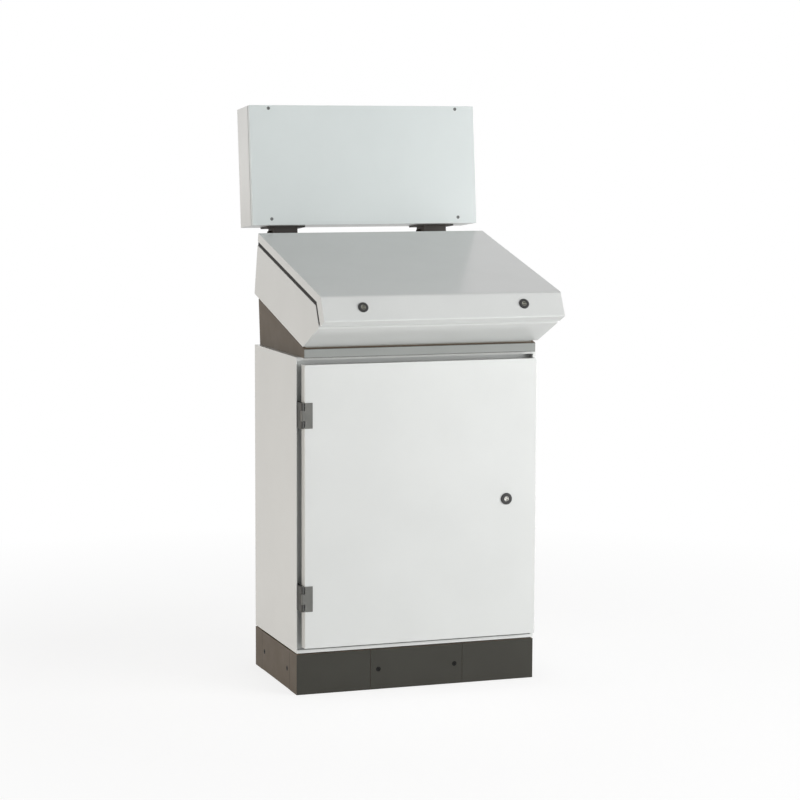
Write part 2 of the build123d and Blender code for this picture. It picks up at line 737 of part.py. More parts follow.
# Desk body: a folded tray with flanges for the lid's gasket
body_heel, body_corner, body_end = split_line(lid_skirt + lid_gap, nose_depth + lid_gap)
body_mouth = mouth_outline(go(body_heel, down_slope, body_flange),
                           go(body_end, down_front, -body_front_flange), overrun, sheet + overrun)
with BuildPart() as desk_body:
    with BuildSketch(Plane.YZ) as body_side:
        with BuildLine():
            Polyline(body_heel, body_corner, body_end, under_front, under_back, close=True)
        make_face()
        lower_corners = [nearest(body_side.vertices(), corner) for corner in (under_front, under_back)]
        fillet(lower_corners, body_bend)
        fillet(nearest(body_side.vertices(), body_end), body_front_bend)
    extrude(amount=desk_half, both=True)
    with BuildSketch(Plane.YZ):
        add(body_side.sketch_local)
        offset(amount=-sheet, kind=Kind.INTERSECTION, mode=Mode.REPLACE)
    extrude(amount=desk_half - sheet, both=True, mode=Mode.SUBTRACT)
    with BuildSketch(Plane.YZ):
        with BuildLine():
            Polyline(*body_mouth, close=True)
        make_face()
    extrude(amount=desk_half - body_flange, both=True, mode=Mode.SUBTRACT)
    passage(pedestal_top, under_back[1])
    for place in desk_bolts:
        rod(place, collar_bolt_radius + hole_clearance, sheet + overrun, Mode.SUBTRACT)
    for place in foot_bolts:
        rod(place, foot_bolt_radius + hole_clearance, bracket_sheet + sheet + overrun, Mode.SUBTRACT)
keep(desk_body, "desk_body")

# Lid: a folded pan that wraps over the desk's nose
lid_heel, lid_corner, lid_end = split_line(lid_skirt, nose_depth)
lid_mouth = mouth_outline(go(lid_heel, down_slope, lid_return), go(lid_end, down_front, -nose_lip),
                          sheet + overrun, overrun)
lid_lock_planes = {
    name: Plane(origin=space(go(nose_top, down_front, lid_lock_drop), side * lid_lock_x), x_dir=(1, 0, 0),
                z_dir=space(front_out))
    for name, side in (("left", -1), ("right", 1))
}
with BuildPart() as lid:
    with BuildSketch(Plane.YZ) as lid_side:
        with BuildLine():
            Polyline(lid_heel, back_top, nose_top, nose_end, lid_end, lid_corner, close=True)
        make_face()
        fillet(nearest(lid_side.vertices(), nose_top), nose_bend)
        fillet(nearest(lid_side.vertices(), nose_end), nose_edge_bend)
    extrude(amount=desk_half, both=True)
    with BuildSketch(Plane.YZ):
        add(lid_side.sketch_local)
        offset(amount=-sheet, kind=Kind.INTERSECTION, mode=Mode.REPLACE)
    extrude(amount=desk_half - sheet, both=True, mode=Mode.SUBTRACT)
    with BuildSketch(Plane.YZ):
        with BuildLine():
            Polyline(*lid_mouth, close=True)
        make_face()
    extrude(amount=desk_half - lid_return, both=True, mode=Mode.SUBTRACT)
    for place in lid_lock_planes.values():
        rod(place, lock_barrel_radius + hole_clearance, sheet + overrun, Mode.SUBTRACT)
keep(lid, "lid")

# Lid gasket: a bent frame that lies on the desk's flanges in the split line
seal_heel, seal_corner, seal_end = split_line(lid_skirt + seat_clearance, nose_depth + seat_clearance)
seal_half = desk_half - lid_gasket_side_inset
seal_start = go(seal_heel, down_slope, lid_gasket_inset)
seal_back = go(body_heel, down_slope, lid_gasket_inset)
seal_stop = go(seal_end, down_front, -lid_gasket_end_inset)
seal_foot = go(body_end, down_front, -lid_gasket_end_inset)
seal_mouth = mouth_outline(go(seal_start, down_slope, lid_gasket_width),
                           go(seal_stop, down_front, -lid_gasket_width), lid_gap, 2 * lid_gap)
with BuildPart() as lid_gasket:
    with BuildSketch(Plane.YZ):
        with BuildLine():
            Polyline(seal_start, seal_corner, seal_stop, seal_foot, body_corner, seal_back, close=True)
        make_face()
    extrude(amount=seal_half, both=True)
    with BuildSketch(Plane.YZ):
        with BuildLine():
            Polyline(*seal_mouth, close=True)
        make_face()
    extrude(amount=seal_half - lid_gasket_width, both=True, mode=Mode.SUBTRACT)
keep(lid_gasket, "lid_gasket")

# Lid locks: the cams lie sideways when open and turn down behind the desk's front flange
end_drop = (body_end[0] - nose_top[0]) * down_front[0] + (body_end[1] - nose_top[1]) * down_front[1]
lid_cam_depth = nose_depth + lid_gap + sheet + lock_cam_clearance
lid_cam_length = end_drop - body_front_flange + cam_catch - lid_lock_drop
quarter_turn_lock(lid_lock_planes["left"], lid_lock_head_radius, sheet, lid_cam_depth, lid_cam_length,
                  cam_pointing_right, "lid_lock_left")
quarter_turn_lock(lid_lock_planes["right"], lid_lock_head_radius, sheet, lid_cam_depth, lid_cam_length,
                  cam_pointing_left, "lid_lock_right")

# Lid hinges: butt hinges on the back, their pins level with the split line
split_middle = go(back_top, down_back, lid_skirt + lid_gap / 2)
butt_rise = butt_barrel_radius + seat_clearance
butt_axis = go(split_middle, back_out, butt_rise)
butt_clear = butt_barrel_radius + butt_leaf_gap
outer_butt = (butt_width - butt_knuckle_width) / 2 - butt_knuckle_gap


def across(point, x):
    """A plane at a point of the side view, facing +X."""
    return Plane(origin=space(point, x), x_dir=(0, 1, 0), z_dir=(1, 0, 0))


butt_places = {"left": -butt_x, "right": butt_x}
for name, x in butt_places.items():
    leaf_plane = Plane(origin=space(split_middle, x), x_dir=(1, 0, 0), z_dir=space(back_out))
    butt_end = x + butt_width / 2
    pin_bore = across(butt_axis, butt_end + overrun)
    with BuildPart() as lid_leaf:
        with BuildSketch(leaf_plane):
            with Locations((0, -butt_clear - butt_leaf / 2)):
                Rectangle(butt_width, butt_leaf)
            with Locations((0, -butt_clear / 2)):
                Rectangle(butt_knuckle_width, butt_clear)
        extrude(amount=butt_thickness)
        rod(across(butt_axis, x + butt_knuckle_width / 2), butt_barrel_radius, butt_knuckle_width)
        rod(pin_bore, butt_pin_radius + pin_clearance, butt_width + 2 * overrun, Mode.SUBTRACT)
    keep(lid_leaf, f"lid_hinge_leaf_{name}")
    with BuildPart() as desk_leaf:
        with BuildSketch(leaf_plane):
            with Locations((0, butt_clear + butt_leaf / 2)):
                Rectangle(butt_width, butt_leaf)
            with Locations(*((s * (butt_width - outer_butt) / 2, butt_clear / 2) for s in (-1, 1))):
                Rectangle(outer_butt, butt_clear)
        extrude(amount=butt_thickness)
        for knuckle_end in (butt_end, x - butt_width / 2 + outer_butt):
            rod(across(butt_axis, knuckle_end), butt_barrel_radius, outer_butt)
        rod(pin_bore, butt_pin_radius + pin_clearance, butt_width + 2 * overrun, Mode.SUBTRACT)
    keep(desk_leaf, f"desk_hinge_leaf_{name}")

with BuildPart() as lid_hinge_pins:
    for x in butt_places.values():
        rod(across(butt_axis, x + butt_width / 2), butt_pin_radius, butt_width)
keep(lid_hinge_pins, "lid_hinge_pins")

# Instrument box: shell, gasket and screwed front cover, all square to its tilted face
tilt = radians(box_tilt)
box_up = (sin(tilt), cos(tilt))
box_back = (cos(tilt), -sin(tilt))
box_origin = (back_top[0] + box_setback, back_top[1] + box_lift)
box_face = Plane(origin=space(box_origin), x_dir=(1, 0, 0), z_dir=(0, -cos(tilt), sin(tilt)))
box_screws = [
    Plane(origin=box_face.from_local_coords((s * box_screw_x, level, 0)), x_dir=(1, 0, 0),
          z_dir=box_face.z_dir)
    for s in (-1, 1) for level in (box_screw_bottom, box_height - box_screw_top)
]


def box_slab(inset, start, depth, mode=Mode.ADD):
    """A slab parallel to the box's face, inset from its outline, starting behind the face."""
    centre = box_face.from_local_coords((0, box_height / 2, -start))
    with Locations(Plane(origin=centre, x_dir=(1, 0, 0), z_dir=box_face.z_dir)):
        Box(box_width - 2 * inset, box_height - 2 * inset, depth,
            align=(Align.CENTER, Align.CENTER, Align.MAX), mode=mode)


shell_start = box_cover_depth + box_cover_gap
with BuildPart() as box_shell:
    box_slab(0, shell_start, box_depth - shell_start)
    box_slab(sheet, shell_start + sheet, box_depth - shell_start - 2 * sheet, Mode.SUBTRACT)
    box_slab(box_flange, shell_start - overrun, sheet + 2 * overrun, Mode.SUBTRACT)
    for place in box_screws:
        rod(place, box_screw_shank_radius + hole_clearance, shell_start + sheet + overrun, Mode.SUBTRACT)
keep(box_shell, "box_shell")

with BuildPart() as box_gasket:
    box_slab(box_gasket_inset, box_cover_depth, box_cover_gap)
    box_slab(box_gasket_inset + box_gasket_width, box_cover_depth - overrun, box_cover_gap + 2 * overrun,
             Mode.SUBTRACT)
    for place in box_screws:
        rod(place, box_screw_shank_radius + hole_clearance, box_screw_length, Mode.SUBTRACT)
keep(box_gasket, "box_gasket")

with BuildPart() as box_cover:
    box_slab(0, 0, box_cover_depth)
    box_slab(sheet, sheet, box_cover_depth, Mode.SUBTRACT)
    screw_holes(box_screws, box_screw, sheet + overrun)
keep(box_cover, "box_cover")

countersunk_screws(box_screws, box_screw, box_screw_length, "box_screws")

# Brackets: arms bolted to the back of the desk, clevises under the box, clamping pivot bolts with nuts
pivot = go(go(box_origin, box_back, pivot_setback), box_up, -pivot_drop)
arm_half = clevis_width / 2 - bracket_sheet - pivot_side_gap
foot_top = go(back_top, down_back, foot_start)
foot_low = go(back_top, down_back, foot_start + foot_length)
arm_run = (pivot[0] - foot_middle[0], pivot[1] - foot_middle[1])
arm_length = (arm_run[0] ** 2 + arm_run[1] ** 2) ** 0.5
arm_side = (-arm_run[1] / arm_length, arm_run[0] / arm_length)
plate_middle = bracket_plate_setback + bracket_plate_depth / 2
for name, x in bracket_places.items():
    with BuildPart() as bracket_arm:
        with BuildSketch(foot_planes[name]):
            Rectangle(2 * arm_half, foot_length)
        extrude(amount=bracket_sheet)
        for start in (x - arm_half, x + arm_half - bracket_sheet):
            with BuildSketch(Plane.YZ.offset(start)):
                with BuildLine():
                    Polyline(foot_top, foot_low, go(pivot, arm_side, -pivot_ear_radius),
                             go(pivot, arm_side, pivot_ear_radius), close=True)
                make_face()
                with Locations(pivot):
                    Circle(pivot_ear_radius)
            extrude(amount=bracket_sheet)
        rod(across(pivot, x + clevis_width), pivot_radius + pin_clearance, 2 * clevis_width, Mode.SUBTRACT)
        for place in foot_bolts:
            rod(place, foot_bolt_radius + hole_clearance, bracket_sheet + overrun, Mode.SUBTRACT)
    keep(bracket_arm, f"bracket_arm_{name}")
    floor_plane = Plane(origin=space(box_origin, x), x_dir=(1, 0, 0), z_dir=space(box_up))
    with BuildPart() as clevis:
        with BuildSketch(floor_plane):
            with Locations((0, plate_middle)):
                Rectangle(bracket_plate_width, bracket_plate_depth)
        extrude(amount=-bracket_sheet)
        with BuildSketch(floor_plane):
            with Locations(*((s * (clevis_width - bracket_sheet) / 2, plate_middle) for s in (-1, 1))):
                Rectangle(bracket_sheet, clevis_depth)
        extrude(amount=-clevis_drop)
        with BuildSketch(floor_plane):
            with Locations((0, plate_middle - (clevis_depth - bracket_sheet) / 2)):
                Rectangle(clevis_width, bracket_sheet)
        extrude(amount=-clevis_web_drop)
        rod(across(pivot, x + clevis_width), pivot_radius + pin_clearance, 2 * clevis_width, Mode.SUBTRACT)
    keep(clevis, f"bracket_clevis_{name}")

with BuildPart() as pivot_bolts:
    for x in bracket_places.values():
        head_seat = x + clevis_width / 2 + pivot_side_gap
        nut_seat = x - clevis_width / 2 - pivot_side_gap
        for seat, height in ((head_seat, pivot_head_height), (nut_seat, -pivot_nut_height)):
            with BuildSketch(across(pivot, seat)):
                RegularPolygon(pivot_head_radius, hex_sides)
            extrude(amount=height)
        rod(across(pivot, head_seat), pivot_radius, head_seat - nut_seat + pivot_nut_height + pivot_tail)
keep(pivot_bolts, "pivot_bolts")

hex_bolts(foot_bolts, foot_bolt_head_radius, foot_bolt_head_height, foot_bolt_radius,
          bracket_sheet + foot_bolt_grip, "foot_bolts")
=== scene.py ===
import logging
import math
from dataclasses import dataclass
from enum import Enum
from typing import Any, Sequence

import bmesh
import bpy
from mathutils import Matrix, Vector


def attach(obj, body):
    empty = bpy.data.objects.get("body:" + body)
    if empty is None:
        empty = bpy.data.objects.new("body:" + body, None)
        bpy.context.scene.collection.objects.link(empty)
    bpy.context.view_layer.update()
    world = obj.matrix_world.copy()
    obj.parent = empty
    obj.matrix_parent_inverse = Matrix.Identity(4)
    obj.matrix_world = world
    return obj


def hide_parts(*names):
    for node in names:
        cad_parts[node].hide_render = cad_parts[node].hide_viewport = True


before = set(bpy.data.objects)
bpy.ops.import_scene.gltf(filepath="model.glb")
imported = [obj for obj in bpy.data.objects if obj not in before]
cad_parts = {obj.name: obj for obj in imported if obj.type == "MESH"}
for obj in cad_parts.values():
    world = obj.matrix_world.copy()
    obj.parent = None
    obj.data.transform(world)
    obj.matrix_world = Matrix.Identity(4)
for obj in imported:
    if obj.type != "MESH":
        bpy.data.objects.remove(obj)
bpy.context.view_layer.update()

# Operator console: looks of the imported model. Metres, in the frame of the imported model.

log = logging.getLogger("console")

MM = 0.001
WHITE = "#ffffff"
# How near corners join, and which edges count as flat, folded or sharp
WELD_REACH = 0.00001
FLAT_ANGLE_DEG = 0.3
FOLD_ANGLE_DEG = 40.0
FOLD_SEGMENTS = 2
SHARP_ANGLE_DEG = 30.0
# Sides of round forms, and the share of X in a direction that counts as along X
LATHE_STEPS = 32
HEX_STEPS = 24
ALONG_X = 0.9
# Depth of a thread and height of its tip, against the pitch, and the tip's radius against the core's
THREAD_DEPTH_SHARE = 0.6
TIP_HEIGHT_SHARE = 0.4
TIP_RADIUS_SHARE = 0.8
# Clouds of colour and smudges of gloss: the band of the noise that they use, and its octaves
CLOUD_BAND = (0.3, 0.75)
CLOUD_DETAIL = 3.0
SMUDGE_BAND = (0.3, 0.7)
SMUDGE_DETAIL = 4.0
SMUDGES_PER_CLOUD = 3
# Rolling marks are drawn out along X
ROLLING_STRETCH = (0.04, 1.0, 1.0)


def linear(hex_colour: str) -> tuple[float, float, float, float]:
    """Turns an sRGB hex colour into linear red, green, blue and alpha.

    Args:
        hex_colour: Six hex digits, with or without a leading hash.

    Returns:
        The linear colour with an alpha of 1.
    """
    digits = hex_colour.lstrip("#")
    channels = [int(digits[i:i + 2], 16) / 255 for i in (0, 2, 4)]
    red, green, blue = [c / 12.92 if c <= 0.04045 else ((c + 0.055) / 1.055) ** 2.4 for c in channels]
    return red, green, blue, 1.0


def add_node(tree: bpy.types.NodeTree, kind: str, links: dict[str, Any] | None = None,
             **settings: Any) -> bpy.types.Node:
    """Adds a node, sets its values and links its inputs.

    Args:
        tree: The node tree that takes the node.
        kind: The node's type name.
        links: Input name or number to an output socket, or to a constant value.
        settings: Properties of the node itself.

    Returns:
        The new node.
    """
    node = tree.nodes.new(kind)
    for name, value in settings.items():
        setattr(node, name, value)
    for name, value in (links or {}).items():
        if isinstance(value, bpy.types.NodeSocket):
            tree.links.new(value, node.inputs[name])
        else:
            node.inputs[name].default_value = value
    return node


class Surface(Enum):
    """How a surface was made, which decides its fine relief."""

    SATIN_COAT = "smooth powder coat with a faint orange peel"
    FINE_TEXTURE = "powder coat with a fine sandy texture"
    FOAM = "foamed rubber with open pores"
    PLATED = "zinc plate over rolled sheet"
    CAST = "pressure casting"


# Octaves of the fine relief's noise
GRAIN_DETAIL = {Surface.SATIN_COAT: 1.0, Surface.FINE_TEXTURE: 4.0, Surface.PLATED: 3.0, Surface.CAST: 3.0}


class Drive(Enum):
    """The recess in a screw's head."""

    CROSS = "cross recess"
    SOCKET = "hexagon socket"


@dataclass(frozen=True)
class Finish:
    """One finish of the console: what it is made of, and what the eye sees of it.

    Attributes:
        name: The real material and how its surface was made.
        colour: Main colour, sRGB hex.
        drift: Colour it drifts to in soft clouds, sRGB hex.
        surface: How the surface was made.
        roughness: Mean roughness.
        roughness_spread: How far roughness wanders from the mean, up and down.
        grain_mm: Size of the fine relief.
        relief_mm: Height of the fine relief.
        metallic: 1 for bare or plated metal.
        cloud_mm: Size of the soft clouds of colour.
        coat: Weight of the smooth skin over the pigment.
        coat_roughness: Roughness of that skin.
        specular: Strength of the mirror light straight on.
        sheen: Weight of the light at low angles, a painted sheen.
        sheen_tint: Colour of that painted sheen, sRGB hex.
    """

    name: str
    colour: str
    drift: str
    surface: Surface
    roughness: float
    roughness_spread: float
    grain_mm: float
    relief_mm: float
    metallic: float = 0.0
    cloud_mm: float = 160.0
    coat: float = 0.0
    coat_roughness: float = 0.1
    specular: float = 0.5
    sheen: float = 0.0
    sheen_tint: str = "#ffffff"

    def material(self) -> bpy.types.Material:
        """Builds the material, or finds it if it has been built.

        Returns:
            The material.
        """
        found = bpy.data.materials.get(self.name)
        if found is not None:
            return found
        made = bpy.data.materials.new(self.name)
        made.use_nodes = True
        tree = made.node_tree
        tree.nodes.clear()
        place = add_node(tree, "ShaderNodeTexCoord").outputs["Object"]
        clouds = add_node(tree, "ShaderNodeTexNoise", {
            "Vector": place, "Scale": 1 / (self.cloud_mm * MM), "Detail": CLOUD_DETAIL})
        ramp = add_node(tree, "ShaderNodeValToRGB", {"Fac": clouds.outputs["Fac"]})
        for stop, position, colour in zip(ramp.color_ramp.elements, CLOUD_BAND, (self.colour, self.drift)):
            stop.position = position
            stop.color = linear(colour)
        smudges = add_node(tree, "ShaderNodeTexNoise", {
            "Vector": place, "Scale": SMUDGES_PER_CLOUD / (self.cloud_mm * MM), "Detail": SMUDGE_DETAIL})
        gloss = add_node(tree, "ShaderNodeMapRange", {
            "Value": smudges.outputs["Fac"], "From Min": SMUDGE_BAND[0], "From Max": SMUDGE_BAND[1],
            "To Min": self.roughness - self.roughness_spread,
            "To Max": self.roughness + self.roughness_spread})
        relief = add_node(tree, "ShaderNodeBump", {
            "Height": self.grain(tree, place), "Distance": self.relief_mm * MM, "Strength": 1.0})
        shader = add_node(tree, "ShaderNodeBsdfPrincipled", {
            "Base Color": ramp.outputs["Color"], "Metallic": self.metallic,
            "Roughness": gloss.outputs["Result"], "Normal": relief.outputs["Normal"],
            "Coat Weight": self.coat, "Coat Roughness": self.coat_roughness,
            "Specular IOR Level": self.specular, "Sheen Weight": self.sheen,
            "Sheen Tint": linear(self.sheen_tint)})
        add_node(tree, "ShaderNodeOutputMaterial", {"Surface": shader.outputs["BSDF"]})
        return made

    def grain(self, tree: bpy.types.NodeTree, place: bpy.types.NodeSocket) -> bpy.types.NodeSocket:
        """Adds the fine relief of the surface.

        Args:
            tree: The material's node tree.
            place: Coordinates in metres.

        Returns:
            The height, from 0 to 1.
        """
        scale = 1 / (self.grain_mm * MM)
        if self.surface is Surface.FOAM:
            pores = add_node(tree, "ShaderNodeTexVoronoi", {"Vector": place, "Scale": scale})
            return pores.outputs["Distance"]
        if self.surface is Surface.PLATED:
            stretched = add_node(tree, "ShaderNodeMapping", {"Vector": place, "Scale": ROLLING_STRETCH})
            place = stretched.outputs["Vector"]
        grains = add_node(tree, "ShaderNodeTexNoise", {
            "Vector": place, "Scale": scale, "Detail": GRAIN_DETAIL[self.surface]})
        return grains.outputs["Fac"]


# Polyester powder coat, light grey, baked smooth: a soft mirror at low angles and a faint orange peel
LIGHT_COAT = Finish("Light grey satin powder coat", "#d6d8d6", "#dadcda", Surface.SATIN_COAT,
                    0.34, 0.03, 2.2, 0.008, coat=0.7, coat_roughness=0.14)
# The same coat on the box's cover, which is a touch cooler
COVER_COAT = Finish("Cool light grey satin powder coat", "#ced5d4", "#d2d9d8", Surface.SATIN_COAT,
                    0.36, 0.03, 2.2, 0.008, coat=0.5, coat_roughness=0.16)
# Powder coat with a sandy texture, dark grey: breaks highlights up. Its brown sheen at low angles is a
# painted warm reflection.
# The grain is drawn at 1.1 mm, coarser than a real one, to show
DARK_COAT = Finish("Dark grey textured powder coat", "#33342f", "#2d2e29", Surface.FINE_TEXTURE,
                   0.45, 0.05, 1.1, 0.04, specular=0.3, sheen=0.8, sheen_tint="#a98f75")
# The same coat in mid grey on the collar's front strip
MID_COAT = Finish("Mid grey textured powder coat", "#8e918e", "#878a87", Surface.FINE_TEXTURE,
                  0.46, 0.05, 1.1, 0.05)
# Foamed rubber seal: matt black with small open pores
SEAL_RUBBER = Finish("Black foamed rubber seal", "#1c1c1b", "#232322", Surface.FOAM, 0.85, 0.06, 0.9, 0.15)
# Foamed seal drawn light grey as painted light: the shaded gap between collar and desk shows as a soft grey
# line
SEAL_PAINTED_LIGHT = Finish("Grey foamed seal lightened as painted light in its gap", "#bcbdb7", "#b1b2ac", Surface.FOAM,
                   0.8, 0.06, 0.9, 0.15)
# Zinc plated steel, clear passivated: bright, with a cold drift and rolling marks
ZINC_STEEL = Finish("Clear passivated zinc plated steel", "#b9bcbd", "#aeb4b8", Surface.PLATED,
                    0.38, 0.06, 0.8, 0.006, metallic=1.0, cloud_mm=40.0)
# Zinc casting with a grey coat: dull, slightly lumpy
HINGE_CASTING = Finish("Grey coated zinc casting", "#6c6c68", "#62635f", Surface.CAST,
                       0.42, 0.05, 1.6, 0.03, cloud_mm=30.0)
# The same casting drawn darker: painted shade of the gutter on the hinge feet, which stand in it
SHADED_FOOT_CASTING = Finish("Grey zinc casting darkened as painted gutter shade", "#3c3c39", "#343431", Surface.CAST,
                      0.5, 0.05, 1.6, 0.03, cloud_mm=30.0)
# Zinc casting with a black coat: the lock housings and their soft rim light
LOCK_CASTING = Finish("Black coated zinc casting", "#232323", "#2a2a29", Surface.CAST,
                      0.36, 0.05, 1.2, 0.02, cloud_mm=30.0)
# Bright nickel plated casting: the door lock's core
LOCK_PLATE = Finish("Nickel plated zinc casting", "#c9c8c3", "#bdbcb7", Surface.CAST, 0.26, 0.06, 1.2, 0.01,
                    metallic=1.0, cloud_mm=12.0)
# Black nickel plated casting: the lid locks' cores, a grey gleam in their black rings
DARK_PLATE = Finish("Black nickel plated zinc casting", "#8c8c84", "#808078", Surface.CAST,
                    0.32, 0.06, 1.2, 0.01, metallic=1.0, cloud_mm=12.0)
# Black powder coat on bracket plate: brownish where the light reaches it
BRACKET_COAT = Finish("Black satin powder coat", "#221a12", "#282017", Surface.SATIN_COAT,
                      0.52, 0.05, 1.8, 0.015)
# Blackened screws: dark oxide with a dull gleam, drawn near black so that each head also carries the
# painted shade of its hole
SCREW_OXIDE_AND_SHADE = Finish("Black oxide steel with painted hole shade", "#090908", "#0e0e0d", Surface.CAST, 0.5, 0.08, 0.7, 0.01,
                     cloud_mm=8.0, specular=0.2)
# Plain steel with a grey phosphate skin: small dull grey heads on the pale cover
SCREW_STEEL = Finish("Grey phosphated steel", "#6d6f6e", "#626463", Surface.CAST, 0.5, 0.06, 0.7, 0.01,
                     metallic=0.6, cloud_mm=8.0)


def dress(node: str, finish: Finish, fold_mm: float = 0.0) -> bpy.types.Object:
    """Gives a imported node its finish, and rounds its sheet edges.

    Args:
        node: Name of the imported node.
        finish: The finish it takes.
        fold_mm: Radius of its edges, or 0 to leave them as they are.

    Returns:
        The node's object.
    """
    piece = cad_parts[node]
    piece.data.materials.clear()
    piece.data.materials.append(finish.material())
    if fold_mm:
        weld = piece.modifiers.new("Join corners", "WELD")
        weld.merge_threshold = WELD_REACH
        merge = piece.modifiers.new("Whole faces", "DECIMATE")
        merge.decimate_type = "DISSOLVE"
        merge.angle_limit = math.radians(FLAT_ANGLE_DEG)
        fold = piece.modifiers.new("Sheet edges", "BEVEL")
        fold.width = fold_mm * MM
        fold.segments = FOLD_SEGMENTS
        fold.limit_method = "ANGLE"
        fold.angle_limit = math.radians(FOLD_ANGLE_DEG)
        shade = piece.modifiers.new("Even shading", "WEIGHTED_NORMAL")
        shade.keep_sharp = True
    log.info("dressed %s in %s", node, finish.name)
    return piece


def loose_parts(node: str) -> list[list[Vector]]:
    """Finds the separate solids of a node that holds a group of fasteners.

    Args:
        node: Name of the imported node.

    Returns:
        The corners of each solid.
    """
    mesh = bmesh.new()
    mesh.from_mesh(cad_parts[node].data)
    bmesh.ops.remove_doubles(mesh, verts=mesh.verts, dist=WELD_REACH)
    left = set(mesh.verts)
    parts = []
    while left:
        first = min(left, key=lambda v: v.index)
        left.discard(first)
        reached, front = [first], [first]
        while front:
            corner = front.pop()
            for edge in corner.link_edges:
                other = edge.other_vert(corner)
                if other in left:
                    left.discard(other)
                    reached.append(other)
                    front.append(other)
        parts.append([v.co.copy() for v in reached])
    mesh.free()
    return parts


def outward(part: Sequence[Vector], parts: Sequence[Sequence[Vector]]) -> Vector:
    """Finds which of the four sides of a group one of its solids lies flush with.

    Args:
        part: Corners of the solid.
        parts: Corners of every solid of the group.

    Returns:
        The direction out of that side.
    """
    corners = [corner for other in parts for corner in other]
    ways = [Vector(way) for way in ((1, 0, 0), (-1, 0, 0), (0, 1, 0), (0, -1, 0))]
    return min(ways, key=lambda way: max(c.dot(way) for c in corners) - max(c.dot(way) for c in part))


def head_places(node: str, axis: Vector | None) -> list[Matrix]:
    """Finds where the heads of a node's fasteners end.

    Args:
        node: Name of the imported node.
        axis: Direction in which the heads point, or None if each points out of its own side.

    Returns:
        For each fastener, the place of its head's end, with Z along the axis.
    """
    places = []
    parts = loose_parts(node)
    for part in parts:
        out = (axis or outward(part, parts)).normalized()
        side = Vector((1.0, 0.0, 0.0)) if abs(out.x) < ALONG_X else Vector((0.0, 1.0, 0.0))
        up = out.cross(side).normalized()
        side = up.cross(out)
        spans = [[c.dot(way) for c in part] for way in (side, up)]
        middle = [(min(span) + max(span)) / 2 for span in spans]
        end = max(c.dot(out) for c in part)
        spot = side * middle[0] + up * middle[1] + out * end
        places.append(Matrix.Translation(spot) @ Matrix((side, up, out)).transposed().to_4x4())
    return places


def lathe(mesh: bmesh.types.BMesh, profile: Sequence[tuple[float, float]], steps: int) -> list[list[Any]]:
    """Turns a profile about Z.

    Args:
        mesh: The mesh that takes the rings and faces.
        profile: Radius and height of each ring, in millimetres.
        steps: Corners in a ring.

    Returns:
        The corners of each ring.
    """
    rings = []
    for radius, height in profile:
        turns = [2 * math.pi * i / steps for i in range(steps)]
        rings.append([mesh.verts.new((radius * MM * math.cos(t), radius * MM * math.sin(t), height * MM))
                      for t in turns])
    for low, high in zip(rings, rings[1:]):
        for i in range(steps):
            j = (i + 1) % steps
            mesh.faces.new((low[i], high[i], high[j], low[j]))
    return rings


def ring_edges(mesh: bmesh.types.BMesh, ring: Sequence[Any]) -> list[Any]:
    """Lists the edges of a closed ring, and makes those that are missing.

    Args:
        mesh: The mesh.
        ring: Corners of the ring.

    Returns:
        Its edges.
    """
    edges = []
    for start, end in zip(ring, [*ring[1:], ring[0]]):
        found = mesh.edges.get((start, end))
        edges.append(found if found is not None else mesh.edges.new((start, end)))
    return edges


@dataclass(frozen=True)
class Fastener:
    """A screw or bolt with a threaded shank.

    Attributes:
        head_radius_mm: Radius of the head, over its corners if it has six sides.
        head_height_mm: Height of the head.
        shank_radius_mm: Radius over the thread.
        length_mm: Length under the plane that the head sits on.
        pitch_mm: Distance from thread to thread.
    """

    head_radius_mm: float
    head_height_mm: float
    shank_radius_mm: float
    length_mm: float
    pitch_mm: float

    def thread(self, start_mm: float) -> list[tuple[float, float]]:
        """Profile of the threaded shank, from its start to a bevelled end.

        Args:
            start_mm: Height at which the thread starts.

        Returns:
            Radius and height of each ring.
        """
        root = self.shank_radius_mm - THREAD_DEPTH_SHARE * self.pitch_mm
        rings = [(root, start_mm)]
        level = start_mm - self.pitch_mm / 2
        while level > -self.length_mm + self.pitch_mm:
            rings += [(self.shank_radius_mm, level), (root, level - self.pitch_mm / 2)]
            level -= self.pitch_mm
        tip = TIP_HEIGHT_SHARE * self.pitch_mm
        return rings + [(root, tip - self.length_mm), (TIP_RADIUS_SHARE * root, -self.length_mm)]


